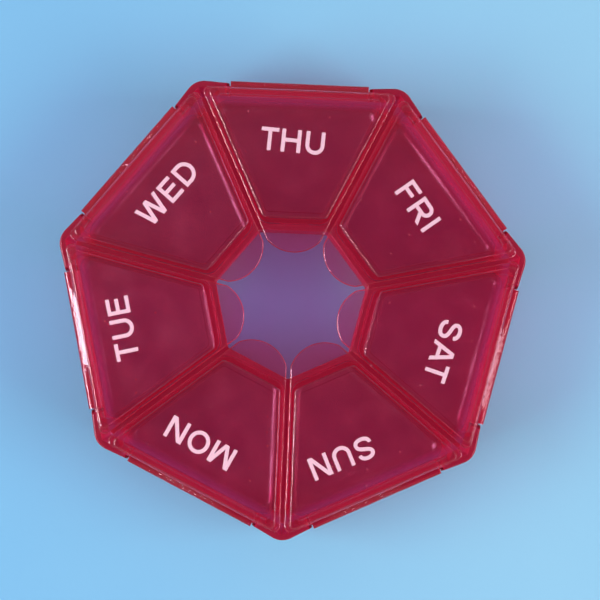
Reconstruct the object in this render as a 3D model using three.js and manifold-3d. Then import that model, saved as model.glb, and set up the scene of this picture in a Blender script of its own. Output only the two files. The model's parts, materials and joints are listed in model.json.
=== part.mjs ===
// Weekly pill box: a seven-sided tray of clear red plastic with a snap-in lid over each day's compartment.
// Millimetres, +Z up. The tray stands on z = 0, the middle of the whole outline is the origin,
// and Thursday's lid lies towards +Y. Each piece is drawn in the place of that lid and turned round the hole.

import * as THREE from 'three';
import { mergeVertices } from 'three/addons/utils/BufferGeometryUtils.js';
import Module from 'manifold-3d';

const wasm = await Module();
wasm.setup();

// Overall form
const dayNames = ['thursday', 'friday', 'saturday', 'sunday', 'monday', 'tuesday', 'wednesday'];
const outerCircumradius = 49; // middle of the hole to where the lines of two sides meet
const cornerSpread = 0.4; // how far the outline's corners stand out past that point
const holeCircumradius = 16; // at the rim
const trayHeight = 17.8;
const outlineCornerRadius = 4;
const holeCornerRadius = 0.8;

// Draft for the mould: how far each wall leans between the rim and the base
const outerDraft = 0.4;
const holeDraft = 0.4;
const compartmentDraft = 0.3;

// Tray
const floorThickness = 1.3;
const outerWall = 1.2;
const holeWall = 1.2;
const dividerThickness = 1.2;
const baseRounding = 0.8;
const rimChamfer = 0.35; // lets the lid corners swing past the rim
const floorRounding = 2.5; // scoops the foot of the walls, so that a fingertip lifts out the last pill
const compartmentInnerRadius = 3;
const compartmentOuterRadius = 3.2;
const wellWall = 1.1; // plastic left round the small well cored out of each corner
const wellLength = 2.4;
const wellWidth = 3.2;
const wellFootWidth = 1.4;
const wellCornerRadius = 0.4;

// Hinge
const hingeInset = 7.15; // sharp corner of the outline to the end of the barrel
const hingeDepth = 2.2; // rim to the hinge axis
const barrelRadius = 1.4;
const barrelProud = 0.25; // how far the barrel stands out of the tray's side
const hingeSideGap = 0.3;
const notchFloorGap = 0.6;
const pinRadius = 0.6;
const pinLength = 1.5;
const pinTipChamfer = 0.25;
const socketClearance = 0.1;
const socketEndGap = 0.3;
const cheekBackWall = 0.6;
const cheekDepth = 2.6; // outer face of the tray to the inner face of a cheek
const cheekSkirt = 2.4; // how far a cheek reaches below the hinge axis
const mouthFlare = 0.8; // lead-in that spreads the cheeks when a lid is pressed in
const mouthFlareDepth = 1.2;

// Lid
const restGap = 0.3; // rim to the underside of the flange
const flangeThickness = 1.1;
const flangeEdgeRounding = 0.25;
const lidSplit = 0.8; // gap between neighbouring lids
const cornerLedge = 1; // how far the lid's corners stop short of the tray's side
const lidCornerRadius = 1.2;
const apronThickness = 1.2;
const apronRounding = 0.7;
const apronFillet = 0.3;
const panelRise = 0.8;
const panelSideMargin = 1; // lid edge to panel edge
const panelInnerMargin = 2.5; // hole's side to the panel's front edge
const panelOuterMargin = 1.3; // tray's side to the panel's hinge edge
const panelCornerRadius = 1;
const panelEdgeRounding = 0.5;
const panelWall = 1.1;
const skirtGap = 0.3;
const skirtThickness = 0.9;
const skirtDepth = 2.2;
const skirtSwing = 1; // room for the skirt's ends as the lid swings open
const tabReach = 4.55; // hole's side to the tip of the thumb tab
const tabShoulder = 2.6; // how far a lid's sides run on past the hole's corners before the tab's arc

// Snap bead on the lid's skirt and its groove in the wall round the hole
const beadRadius = 0.4;
const beadProud = 0.2;
const beadLength = 6;
const beadLift = 1; // skirt's lower edge to the middle of the bead
const grooveDepth = 0.25;
const grooveClearance = 0.15;
const grooveEndGap = 0.5;

// Facets
const overrun = 2; // how far a cutter runs past what it cuts, and a joined piece into its neighbour
const cornerSegments = 3;
const smallCornerSegments = 1;
const roundingSegments = 2;
const floorSegments = 3;
const tabSegments = 10;
const barrelSides = 20;
const beadSides = 8;

// Colours and finish of the clear red plastic
const trayColour = 0xb3203c;
const lidColour = 0xc02848;
const plasticRoughness = 0.22;
const plasticOpacity = 0.8;

// Sizes that follow from the ones above
const sector = (2 * Math.PI) / dayNames.length;
const halfSector = sector / 2;
const outerApothem = outerCircumradius * Math.cos(halfSector);
const holeApothem = holeCircumradius * Math.cos(halfSector);
const barrelHalf = outerCircumradius * Math.sin(halfSector) - hingeInset;
const notchHalf = barrelHalf + hingeSideGap;
const socketDepth = pinLength - hingeSideGap + socketEndGap;
const hingeReach = outerApothem + barrelProud;
const hingeAxisY = hingeReach - barrelRadius;
const hingeAxisZ = trayHeight - hingeDepth;
const notchFloorZ = hingeAxisZ - barrelRadius - notchFloorGap;
const compartmentInnerY = holeApothem + holeWall;
const compartmentOuterY = outerApothem - outerWall;
const flangeUnderZ = trayHeight + restGap;
const flangeTopZ = flangeUnderZ + flangeThickness;
const panelTopZ = flangeTopZ + panelRise;
const lidOuterY = outerApothem - cornerLedge;
const skirtInnerY = compartmentInnerY + skirtGap;
const skirtEndY = compartmentOuterY - compartmentOuterRadius - skirtSwing;
const skirtFootZ = flangeUnderZ - skirtDepth;
const beadZ = skirtFootZ + beadLift;

// Where a line at a distance inside the compartment's edge ray stands at a given distance from the hole's middle
function rayHalfWidth(y, distance) {
  return (y * Math.sin(halfSector) - distance) / Math.cos(halfSector);
}

// Draws a closed outline through corners given in order, each rounded to its own radius
function roundedOutline(corners) {
  const shape = new THREE.Shape();
  corners.forEach((corner, index) => {
    const before = corners[(index + corners.length - 1) % corners.length];
    const after = corners[(index + 1) % corners.length];
    const here = new THREE.Vector2(corner.x, corner.y);
    const toBefore = new THREE.Vector2(before.x, before.y).sub(here).normalize();
    const toAfter = new THREE.Vector2(after.x, after.y).sub(here).normalize();
    const halfAngle = Math.acos(toBefore.dot(toAfter)) / 2;
    const trim = corner.radius / Math.tan(halfAngle);
    const start = here.clone().addScaledVector(toBefore, trim);
    const end = here.clone().addScaledVector(toAfter, trim);
    const inward = toBefore.clone().add(toAfter).normalize();
    const centre = here.clone().addScaledVector(inward, corner.radius / Math.sin(halfAngle));
    const startAngle = start.clone().sub(centre).angle();
    const endAngle = end.clone().sub(centre).angle();
    if (index === 0) {
      shape.moveTo(start.x, start.y);
    } else {
      shape.lineTo(start.x, start.y);
    }
    if (corner.radius > 0) {
      shape.absarc(centre.x, centre.y, corner.radius, startAngle, endAngle, false);
    }
  });
  return shape;
}

// Repeats one side's corners all round the hole
function ringOutline(sideCorners) {
  const middle = new THREE.Vector2(0, 0);
  const corners = dayNames.flatMap((name, index) => sideCorners.map((corner) => {
    const turned = new THREE.Vector2(corner.x, corner.y).rotateAround(middle, index * sector);
    return { x: turned.x, y: turned.y, radius: corner.radius };
  }));
  return roundedOutline(corners);
}

// The tray from above: straight along each hinge, then leaning out a little to the corners
function trayOutline() {
  const spreadRadius = outerCircumradius + cornerSpread;
  return ringOutline([
    { x: notchHalf, y: outerApothem, radius: 0 },
    { x: -notchHalf, y: outerApothem, radius: 0 },
    {
      x: -spreadRadius * Math.sin(halfSector),
      y: spreadRadius * Math.cos(halfSector),
      radius: outlineCornerRadius
    }
  ]);
}

function holeOutline() {
  return ringOutline([{
    x: -holeCircumradius * Math.sin(halfSector),
    y: holeApothem,
    radius: holeCornerRadius
  }]);
}

// The four-cornered outline of one day's share of the ring
function sectorOutline({ sideOffset, innerY, outerY, innerRadius, outerRadius }) {
  const innerHalf = rayHalfWidth(innerY, sideOffset);
  const outerHalf = rayHalfWidth(outerY, sideOffset);
  return roundedOutline([
    { x: -innerHalf, y: innerY, radius: innerRadius },
    { x: innerHalf, y: innerY, radius: innerRadius },
    { x: outerHalf, y: outerY, radius: outerRadius },
    { x: -outerHalf, y: outerY, radius: outerRadius }
  ]);
}

// A lid's flange seen from above: straight sides that run on into the round thumb tab
function flangeOutline() {
  const sideOffset = lidSplit / 2;
  const outerHalf = rayHalfWidth(lidOuterY, sideOffset);
  const along = holeCircumradius - tabShoulder;
  const meetX = along * Math.sin(halfSector) - sideOffset * Math.cos(halfSector);
  const meetY = along * Math.cos(halfSector) + sideOffset * Math.sin(halfSector);
  const tipY = holeApothem - tabReach;
  const tabCentreY = (meetX ** 2 + meetY ** 2 - tipY ** 2) / (2 * (meetY - tipY));
  const tabRadius = tabCentreY - tipY;
  const meetAngle = Math.atan2(meetY - tabCentreY, meetX);
  const trim = lidCornerRadius / Math.tan((Math.PI / 2 - halfSector) / 2);
  const sideX = outerHalf - trim * Math.sin(halfSector);
  const sideY = lidOuterY - trim * Math.cos(halfSector);
  const centreX = outerHalf - trim;
  const centreY = lidOuterY - lidCornerRadius;
  const shape = new THREE.Shape();
  shape.moveTo(meetX, meetY);
  shape.lineTo(sideX, sideY);
  shape.absarc(centreX, centreY, lidCornerRadius, -halfSector, Math.PI / 2, false);
  shape.lineTo(-centreX, lidOuterY);
  shape.absarc(-centreX, centreY, lidCornerRadius, Math.PI / 2, Math.PI + halfSector, false);
  shape.lineTo(-meetX, meetY);
  const tab = new THREE.EllipseCurve(0, tabCentreY, tabRadius, tabRadius, Math.PI - meetAngle, meetAngle);
  tab.getPoints(tabSegments).slice(1, -1).forEach((point) => shape.lineTo(point.x, point.y));
  return shape;
}

// Stands an outline up between two heights, with its end edges rounded if asked
function extrude(
  shape,
  bottomZ,
  topZ,
  rounding = 0,
  curveSegments = cornerSegments,
  bevelSegments = roundingSegments
) {
  const geometry = new THREE.ExtrudeGeometry(shape, {
    depth: topZ - bottomZ - 2 * rounding,
    bevelEnabled: rounding > 0,
    bevelThickness: rounding,
    bevelSize: rounding,
    bevelOffset: -rounding,
    bevelSegments,
    curveSegments
  });
  return geometry.translate(0, 0, bottomZ + rounding);
}

// Leans the walls of a standing form towards its middle by the draft that they have from the rim to the base
function drafted(geometry, draft, wallReach, middleY = 0) {
  const position = geometry.getAttribute('position');
  for (let index = 0; index < position.count; index += 1) {
    const dropShare = 1 - position.getZ(index) / trayHeight;
    const scale = 1 - (draft * dropShare) / wallReach;
    position.setX(index, position.getX(index) * scale);
    position.setY(index, middleY + (position.getY(index) - middleY) * scale);
  }
  return geometry;
}

// Runs a profile drawn in distance from the hole's middle and height along the tray's side
function alongSide(profile, startX, endX) {
  const geometry = new THREE.ExtrudeGeometry(profile, {
    depth: endX - startX,
    bevelEnabled: false,
    curveSegments: cornerSegments
  });
  const turned = new THREE.Matrix4().makeBasis(
    new THREE.Vector3(0, 1, 0),
    new THREE.Vector3(0, 0, 1),
    new THREE.Vector3(1, 0, 0)
  );
  return geometry.applyMatrix4(turned).translate(startX, 0, 0);
}

// A box between two opposite corners
function block(lowX, lowY, lowZ, highX, highY, highZ) {
  const geometry = new THREE.BoxGeometry(highX - lowX, highY - lowY, highZ - lowZ);
  return geometry.translate((lowX + highX) / 2, (lowY + highY) / 2, (lowZ + highZ) / 2);
}

// A round bar along the tray's side
function bar(radius, length, sides, y, z) {
  return new THREE.CylinderGeometry(radius, radius, length, sides).rotateZ(Math.PI / 2).translate(0, y, z);
}

function toSolid(geometry) {
  const bare = new THREE.BufferGeometry();
  bare.setAttribute('position', geometry.getAttribute('position'));
  bare.setIndex(geometry.getIndex());
  const merged = mergeVertices(bare);
  const corners = merged.getIndex().array;
  const triangles = [];
  for (let first = 0; first < corners.length; first += 3) {
    const [a, b, c] = corners.slice(first, first + 3);
    if (a !== b && b !== c && c !== a) {
      triangles.push(a, b, c);
    }
  }
  return new wasm.Manifold(new wasm.Mesh({
    numProp: 3,
    vertProperties: new Float32Array(merged.getAttribute('position').array),
    triVerts: new Uint32Array(triangles)
  }));
}

function toGeometry(solid) {
  const mesh = solid.getMesh();
  const geometry = new THREE.BufferGeometry();
  geometry.setAttribute('position', new THREE.BufferAttribute(mesh.vertProperties, mesh.numProp));
  geometry.setIndex(new THREE.BufferAttribute(mesh.triVerts, 1));
  geometry.computeVertexNormals();
  return geometry;
}

// Repeats one geometry in every day's place
function aroundHole(geometry) {
  return dayNames.map((name, index) => geometry.clone().rotateZ(-index * sector));
}

function joinAll(solid, geometries) {
  return geometries.reduce((joined, geometry) => joined.add(toSolid(geometry)), solid);
}

function cutAll(solid, geometries) {
  return geometries.reduce((cut, geometry) => cut.subtract(toSolid(geometry)), solid);
}

// The solid of the tray before anything is cut out: rounded at the base, chamfered at the rim
function trayBlank() {
  const outline = trayOutline();
  const based = drafted(extrude(outline, 0, trayHeight + overrun, baseRounding), outerDraft, outerApothem);
  const rimmed = drafted(extrude(outline, -overrun, trayHeight, rimChamfer), outerDraft, outerApothem);
  return toSolid(based).intersect(toSolid(rimmed));
}

function compartmentCutter() {
  const outline = sectorOutline({
    sideOffset: dividerThickness / 2,
    innerY: compartmentInnerY,
    outerY: compartmentOuterY,
    innerRadius: compartmentInnerRadius,
    outerRadius: compartmentOuterRadius
  });
  const wallReach = (compartmentOuterY - compartmentInnerY) / 2;
  const roomTopZ = trayHeight + overrun + floorRounding;
  const room = extrude(outline, floorThickness, roomTopZ, floorRounding, cornerSegments, floorSegments);
  return drafted(room, compartmentDraft, wallReach, compartmentInnerY + wallReach);
}

// The small well that the mould cores out of a corner, so that the plastic there is no thicker than the walls
function cornerWellCutter() {
  const tipY = (outerApothem - wellWall) / Math.cos(halfSector);
  const shoulderY = tipY - (wellWidth / 2) * Math.tan(halfSector);
  const footY = tipY - wellLength;
  const outline = roundedOutline([
    { x: -wellFootWidth / 2, y: footY, radius: wellCornerRadius },
    { x: wellFootWidth / 2, y: footY, radius: wellCornerRadius },
    { x: wellWidth / 2, y: shoulderY, radius: wellCornerRadius },
    { x: 0, y: tipY, radius: wellCornerRadius },
    { x: -wellWidth / 2, y: shoulderY, radius: wellCornerRadius }
  ]);
  const well = extrude(outline, -overrun, trayHeight + overrun, 0, smallCornerSegments);
  return drafted(well, outerDraft, outerApothem).rotateZ(halfSector);
}

// The blocks at both ends of a notch that hold the lid's pins
function cheeks() {
  const insideY = outerApothem - cheekDepth;
  const rootY = outerApothem - outerWall / 2;
  const footZ = hingeAxisZ - cheekSkirt;
  const profile = new THREE.Shape();
  profile.moveTo(rootY, trayHeight);
  profile.lineTo(insideY, trayHeight);
  profile.lineTo(insideY, footZ);
  profile.lineTo(rootY, footZ - (rootY - insideY));
  const cheekEnd = notchHalf + socketDepth + cheekBackWall;
  return [alongSide(profile, notchHalf, cheekEnd), alongSide(profile, -cheekEnd, -notchHalf)];
}

// The notch in the outer wall that the barrel lies in, with its flared mouth and blind pin sockets
function hingeCutters() {
  const insideY = outerApothem - cheekDepth - overrun;
  const outsideY = outerApothem + overrun;
  const topZ = trayHeight + overrun;
  const notch = block(-notchHalf, insideY, notchFloorZ, notchHalf, outsideY, topZ);
  const flareGrowth = mouthFlare / mouthFlareDepth;
  const mouthTopHalf = notchHalf + mouthFlare + overrun * flareGrowth;
  const mouthOutline = new THREE.Shape();
  mouthOutline.moveTo(-notchHalf, trayHeight - mouthFlareDepth);
  mouthOutline.lineTo(notchHalf, trayHeight - mouthFlareDepth);
  mouthOutline.lineTo(mouthTopHalf, topZ);
  mouthOutline.lineTo(-mouthTopHalf, topZ);
  const mouth = new THREE.ExtrudeGeometry(mouthOutline, { depth: outsideY - insideY, bevelEnabled: false });
  mouth.rotateX(Math.PI / 2).translate(0, outsideY, 0);
  const sockets = bar(
    pinRadius + socketClearance,
    2 * (notchHalf + socketDepth),
    barrelSides,
    hingeAxisY,
    hingeAxisZ
  );
  return [notch, mouth, sockets];
}

function grooveCutter() {
  const radius = beadRadius + grooveClearance;
  return bar(radius, beadLength + 2 * grooveEndGap, beadSides, compartmentInnerY + radius - grooveDepth, beadZ);
}

function makeTray() {
  let tray = trayBlank();
  tray = cutAll(tray, aroundHole(compartmentCutter()));
  tray = joinAll(tray, cheeks().flatMap(aroundHole));
  tray = cutAll(tray, hingeCutters().flatMap(aroundHole));
  tray = cutAll(tray, aroundHole(grooveCutter()));
  tray = cutAll(tray, aroundHole(cornerWellCutter()));
  const hole = extrude(holeOutline(), -overrun, trayHeight + overrun, 0, smallCornerSegments);
  return cutAll(tray, [drafted(hole, -holeDraft, holeApothem)]);
}

// The raised middle of a lid, or the pocket under it when inset by the panel's wall
function panelOutline(inset, cornerRadius) {
  return sectorOutline({
    sideOffset: lidSplit / 2 + panelSideMargin + inset,
    innerY: holeApothem + panelInnerMargin + inset,
    outerY: outerApothem - panelOuterMargin - inset,
    innerRadius: cornerRadius,
    outerRadius: cornerRadius
  });
}

// The hinge edge of a lid in profile: the flange bends down into the apron, which carries the barrel
function hingeProfile() {
  const rootY = lidOuterY - overrun;
  const apronInnerY = hingeReach - apronThickness;
  const profile = new THREE.Shape();
  profile.moveTo(rootY, flangeUnderZ);
  profile.lineTo(apronInnerY - apronFillet, flangeUnderZ);
  profile.absarc(apronInnerY - apronFillet, flangeUnderZ - apronFillet, apronFillet, Math.PI / 2, 0, true);
  profile.lineTo(apronInnerY, hingeAxisZ);
  profile.lineTo(hingeReach, hingeAxisZ);
  profile.lineTo(hingeReach, flangeTopZ - apronRounding);
  profile.absarc(hingeReach - apronRounding, flangeTopZ - apronRounding, apronRounding, 0, Math.PI / 2, false);
  profile.lineTo(rootY, flangeTopZ);
  return profile;
}

// The barrel with a pin at each end, turned in one profile
function barrelAndPins() {
  const pinEnd = barrelHalf + pinLength;
  const half = [
    new THREE.Vector2(barrelRadius, barrelHalf),
    new THREE.Vector2(pinRadius, barrelHalf),
    new THREE.Vector2(pinRadius, pinEnd - pinTipChamfer),
    new THREE.Vector2(pinRadius - pinTipChamfer, pinEnd),
    new THREE.Vector2(0, pinEnd)
  ];
  const otherHalf = half.map((point) => new THREE.Vector2(point.x, -point.y)).reverse();
  const barrel = new THREE.LatheGeometry([...otherHalf, ...half], barrelSides);
  return barrel.rotateZ(Math.PI / 2).translate(0, hingeAxisY, hingeAxisZ);
}

// The rim under the lid that drops into the compartment on three sides
function makeSkirt() {
  const outer = sectorOutline({
    sideOffset: dividerThickness / 2 + skirtGap,
    innerY: skirtInnerY,
    outerY: skirtEndY + overrun,
    innerRadius: compartmentInnerRadius - skirtGap,
    outerRadius: skirtThickness
  });
  const inner = sectorOutline({
    sideOffset: dividerThickness / 2 + skirtGap + skirtThickness,
    innerY: skirtInnerY + skirtThickness,
    outerY: skirtEndY + 2 * overrun,
    innerRadius: Math.max(compartmentInnerRadius - skirtGap - skirtThickness, skirtGap),
    outerRadius: skirtThickness
  });
  const sideX = rayHalfWidth(skirtEndY + overrun, 0);
  const endCutter = block(
    -sideX,
    skirtEndY,
    skirtFootZ - overrun,
    sideX,
    skirtEndY + 2 * overrun,
    flangeTopZ + overrun
  );
  const topZ = flangeUnderZ + flangeThickness / 2;
  const skirt = toSolid(extrude(outer, skirtFootZ, topZ));
  const bead = bar(beadRadius, beadLength, beadSides, skirtInnerY + beadRadius - beadProud, beadZ);
  const hollow = extrude(inner, skirtFootZ - overrun, topZ + overrun);
  return cutAll(skirt.add(toSolid(bead)), [hollow, endCutter]);
}

function makeLid() {
  const flange = toSolid(extrude(flangeOutline(), flangeUnderZ, flangeTopZ, flangeEdgeRounding));
  const panelBottomZ = flangeTopZ - panelEdgeRounding - flangeEdgeRounding;
  const panel = extrude(panelOutline(0, panelCornerRadius), panelBottomZ, panelTopZ, panelEdgeRounding);
  const pocketOutline = panelOutline(panelWall, panelCornerRadius);
  const pocketTopZ = flangeUnderZ + panelRise;
  const pocket = extrude(pocketOutline, trayHeight, pocketTopZ, 0, smallCornerSegments);
  const plate = cutAll(joinAll(flange, [panel]), [pocket]);
  const hingeEdge = alongSide(hingeProfile(), -barrelHalf, barrelHalf);
  const shell = joinAll(plate, [hingeEdge, barrelAndPins()]);
  return cutAll(shell, [pocket]).add(makeSkirt());
}

function plastic(colour) {
  return new THREE.MeshStandardMaterial({
    color: colour,
    roughness: plasticRoughness,
    metalness: 0,
    transparent: true,
    opacity: plasticOpacity,
    flatShading: true
  });
}

const pillBox = new THREE.Group();

// The outline reaches further towards the corner than towards the side, so the hole is off the middle
const outlineBox = new THREE.Box2().setFromPoints(trayOutline().getPoints(cornerSegments));
const ring = new THREE.Group();
ring.position.y = -(outlineBox.min.y + hingeReach) / 2;
pillBox.add(ring);

const tray = new THREE.Mesh(toGeometry(makeTray()), plastic(trayColour));
tray.name = 'tray';
ring.add(tray);

const lidGeometry = toGeometry(makeLid());
dayNames.forEach((dayName, index) => {
  const lid = new THREE.Mesh(lidGeometry, plastic(lidColour));
  lid.name = `lid_${dayName}`;
  lid.rotation.z = -index * sector;
  ring.add(lid);
});

export default pillBox;
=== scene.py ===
import cmath
import json
import math

import bmesh
import bpy
from mathutils import Matrix, Vector


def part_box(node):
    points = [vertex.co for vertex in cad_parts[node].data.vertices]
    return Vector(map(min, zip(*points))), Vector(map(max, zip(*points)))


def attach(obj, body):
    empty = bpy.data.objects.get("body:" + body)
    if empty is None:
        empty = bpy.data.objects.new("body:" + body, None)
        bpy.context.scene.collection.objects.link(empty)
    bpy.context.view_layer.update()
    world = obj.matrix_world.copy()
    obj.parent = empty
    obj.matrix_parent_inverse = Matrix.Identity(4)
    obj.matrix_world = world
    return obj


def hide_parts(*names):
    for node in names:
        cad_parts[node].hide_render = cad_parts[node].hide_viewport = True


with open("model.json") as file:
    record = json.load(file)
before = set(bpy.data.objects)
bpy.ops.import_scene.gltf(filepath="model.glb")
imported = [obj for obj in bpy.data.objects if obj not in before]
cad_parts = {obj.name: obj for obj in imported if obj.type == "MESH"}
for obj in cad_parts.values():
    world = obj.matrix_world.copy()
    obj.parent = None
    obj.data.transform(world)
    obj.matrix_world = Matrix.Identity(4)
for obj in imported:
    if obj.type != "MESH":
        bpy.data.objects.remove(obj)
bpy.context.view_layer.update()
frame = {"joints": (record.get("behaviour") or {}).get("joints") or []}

mm = 0.001
dayNames = ["thursday", "friday", "saturday", "sunday", "monday", "tuesday", "wednesday"]
sector = 2 * math.pi / len(dayNames)
halfSector = sector / 2

# The frame gives the middle of the ring, the hinge line and the heights
hinges = {joint["child"]: Vector(joint["pos_m"]) for joint in frame["joints"]}
ringMiddle = sum(hinges.values(), Vector()) / len(hinges)
hingeReach = (hinges["lid_thursday"] - ringMiddle).length  # middle of the hole to a hinge line
hingeHeight = ringMiddle.z
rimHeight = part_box("tray")[1].z
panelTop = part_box("lid_thursday")[1].z

ringPlan = {
    "outerCircumradius": 49 * mm,  # middle of the hole to where the lines of two sides meet
    "cornerSpread": 0.4 * mm,  # how far the outline's corners stand out past that
    "cornerRadius": 4 * mm,
    "holeCircumradius": 16 * mm,
    "holeCornerRadius": 0.8 * mm,
    "outerDraft": 0.4 * mm,  # lean of each wall between the rim and the base
    "holeDraft": 0.4 * mm,
    "compartmentDraft": 0.3 * mm,
    "overrun": 2 * mm,  # how far a cutter runs past what it cuts
}
outerApothem = ringPlan["outerCircumradius"] * math.cos(halfSector)
holeApothem = ringPlan["holeCircumradius"] * math.cos(halfSector)
overrun = ringPlan["overrun"]

hingePlan = {
    "inset": 7.15 * mm,  # sharp corner of the outline to the end of the barrel
    "barrelRadius": 1.4 * mm,
    "sideGap": 0.3 * mm,
    "floorGap": 0.6 * mm,
    "pinRadius": 0.6 * mm,
    "pinLength": 1.5 * mm,
    "pinTipChamfer": 0.25 * mm,
    "edgeRound": 0.15 * mm,
    "socketClearance": 0.1 * mm,
    "socketEndGap": 0.3 * mm,
    "sides": 48,
}
barrelHalf = ringPlan["outerCircumradius"] * math.sin(halfSector) - hingePlan["inset"]
notchHalf = barrelHalf + hingePlan["sideGap"]
barrelFront = hingeReach + hingePlan["barrelRadius"]

smoothness = {
    "cornerSteps": 10,  # per rounded corner of an outline
    "edgeSteps": 5,  # per rounded edge
    "bendSteps": 10,  # where a flange bends into its apron
    "filletSteps": 4,
    "sharpAngle": math.radians(32),  # edges that turn more than this stay crisp
}


# Plan points are complex numbers, x + y*1j: 0 is the middle of the hole and +y is towards Thursday
def rayHalfWidth(y, distance):  # where a line set in from a day's edge ray stands at that y
    return (y * math.sin(halfSector) - distance) / math.cos(halfSector)


def roundedOutline(corners):  # corners are (point, radius), anticlockwise
    points = []
    steps = smoothness["cornerSteps"]
    for index, (here, radius) in enumerate(corners):
        if radius == 0:
            points.append(here)
            continue
        toBefore = corners[index - 1][0] - here
        toAfter = corners[(index + 1) % len(corners)][0] - here
        toBefore /= abs(toBefore)
        toAfter /= abs(toAfter)
        halfAngle = abs(cmath.phase(toBefore / toAfter)) / 2
        inward = (toBefore + toAfter) / abs(toBefore + toAfter)
        centre = here + inward * radius / math.sin(halfAngle)
        arm = here + toBefore * radius / math.tan(halfAngle) - centre
        turn = math.pi - 2 * halfAngle
        points += [centre + arm * cmath.rect(1, turn * step / steps) for step in range(steps + 1)]
    return points


def cornerNormal(before, after):  # where two sides meet: the unit normal, and its share along each side's own
    before /= abs(before)
    after /= abs(after)
    normal = 1j * (before + after)
    normal /= abs(normal)
    return normal, (normal * (1j * before).conjugate()).real


def insetOutline(points, inset):  # moves every side of an anticlockwise outline inwards
    moved = []
    for index, here in enumerate(points):
        normal, share = cornerNormal(here - points[index - 1], points[(index + 1) % len(points)] - here)
        moved.append(here + normal * inset / share)
    return moved


def ringOutline(sideCorners):  # repeats one side's corners all round the hole
    return roundedOutline([(point * cmath.rect(1, index * sector), radius)
                           for index in range(len(dayNames)) for point, radius in sideCorners])


def sectorOutline(sideOffset, innerY, outerY, innerRadius, outerRadius):
    innerHalf = rayHalfWidth(innerY, sideOffset)
    outerHalf = rayHalfWidth(outerY, sideOffset)
    return roundedOutline([
        (complex(-innerHalf, innerY), innerRadius),
        (complex(innerHalf, innerY), innerRadius),
        (complex(outerHalf, outerY), outerRadius),
        (complex(-outerHalf, outerY), outerRadius),
    ])


def solidFromRings(rings):  # rings of 3-D points from the bottom up, as many points in each
    bm = bmesh.new()
    loops = [[bm.verts.new(point) for point in ring] for ring in rings]
    for low, high in zip(loops, loops[1:]):
        for index in range(len(low)):
            after = (index + 1) % len(low)
            bm.faces.new((low[index], low[after], high[after], high[index]))
    bm.faces.new(list(reversed(loops[0])))
    bm.faces.new(loops[-1])
    mesh = bpy.data.meshes.new("solid")
    bm.to_mesh(mesh)
    bm.free()
    return mesh


# (height above the end, inset) along a rounded edge; with a radius below 0 the edge flares out
def edgeCurve(radius, steps=smoothness["edgeSteps"]):
    size = abs(radius)
    turns = [math.pi / 2 * step / steps for step in range(steps + 1)]
    return [(size * (1 - math.cos(turn)), radius * (1 - math.sin(turn))) for turn in turns]


# Stands an outline up between two heights. Cutters run on past an end by lowRun or highRun.
def slab(outline, bottom, top, lowRound=0, highRound=0, lowRun=0, highRun=0,
         lowSteps=smoothness["edgeSteps"]):
    low = [(bottom, 0)]
    high = [(top, 0)]
    if lowRound:
        low = [(bottom + rise, inset) for rise, inset in edgeCurve(lowRound, lowSteps)]
    if highRound:
        high = [(top - rise, inset) for rise, inset in reversed(edgeCurve(highRound))]
    if lowRun:
        low.insert(0, (bottom - lowRun, low[0][1]))
    if highRun:
        high.append((top + highRun, high[-1][1]))
    rings = []
    for height, inset in low + high:
        points = insetOutline(outline, inset) if inset else outline
        rings.append([(point.real, point.imag, height) for point in points])
    return solidFromRings(rings)


# Leans the walls of a standing form towards its middle, more the further below the rim
def drafted(mesh, draft, wallReach, middleY=0):
    for vertex in mesh.vertices:
        scale = 1 - draft * (1 - vertex.co.z / rimHeight) / wallReach
        vertex.co.x *= scale
        vertex.co.y = middleY + (vertex.co.y - middleY) * scale
    return mesh


def alongSide(profile, startX, endX):  # runs a profile of (y, z) points along the tray's side
    return solidFromRings([[(x, y, z) for y, z in profile] for x in (startX, endX)])


def block(low, high):
    (lowX, lowY, lowZ), (highX, highY, highZ) = low, high
    return alongSide([(lowY, lowZ), (highY, lowZ), (highY, highZ), (lowY, highZ)], lowX, highX)


def turnedBar(outline, y, z):  # turns (radius, x) points round a line along the tray's side
    sides = hingePlan["sides"]
    rings = []
    for radius, x in outline:
        circle = [cmath.rect(radius, 2 * math.pi * side / sides) for side in range(sides)]
        rings.append([(x, y + point.real, z + point.imag) for point in circle])
    return solidFromRings(rings)


# (y, z) points along a round edge, from one turn to another in quarter circles
def arc(centreY, centreZ, radius, startTurn, endTurn, steps):
    turns = [startTurn + (endTurn - startTurn) * step / steps for step in range(steps + 1)]
    return [(centreY + radius * math.cos(turn * math.pi / 2),
             centreZ + radius * math.sin(turn * math.pi / 2)) for turn in turns]


def aroundHole(mesh):  # a copy of one mesh in every day's place
    copies = []
    for index in range(len(dayNames)):
        copy = mesh.copy()
        copy.transform(Matrix.Rotation(-index * sector, 4, "Z"))
        copies.append(copy)
    return copies


def makeObject(name, mesh):
    thing = bpy.data.objects.new(name, mesh)
    bpy.context.scene.collection.objects.link(thing)
    return thing


def evenNormals(mesh):
    bm = bmesh.new()
    bm.from_mesh(mesh)
    bmesh.ops.recalc_face_normals(bm, faces=bm.faces)
    bm.to_mesh(mesh)
    bm.free()
    return mesh


def combine(base, meshes, operation):  # unions or cuts closed meshes, one after another
    body = makeObject("working_body", evenNormals(base))
    for mesh in meshes:
        tool = makeObject("working_tool", evenNormals(mesh))
        modifier = body.modifiers.new("combine", "BOOLEAN")
        modifier.operation = operation
        modifier.solver = "MANIFOLD"
        modifier.object = tool
    depsgraph = bpy.context.evaluated_depsgraph_get()
    result = bpy.data.meshes.new_from_object(body.evaluated_get(depsgraph))
    for modifier in body.modifiers:
        bpy.data.objects.remove(modifier.object)
    bpy.data.objects.remove(body)
    return result


def polish(thing):  # smooth shading with crisp edges and flat panels
    thing.data.shade_smooth()
    thing.data.set_sharp_from_angle(angle=smoothness["sharpAngle"])
    weighted = thing.modifiers.new("even_shading", "WEIGHTED_NORMAL")
    weighted.keep_sharp = True
    return thing


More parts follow.
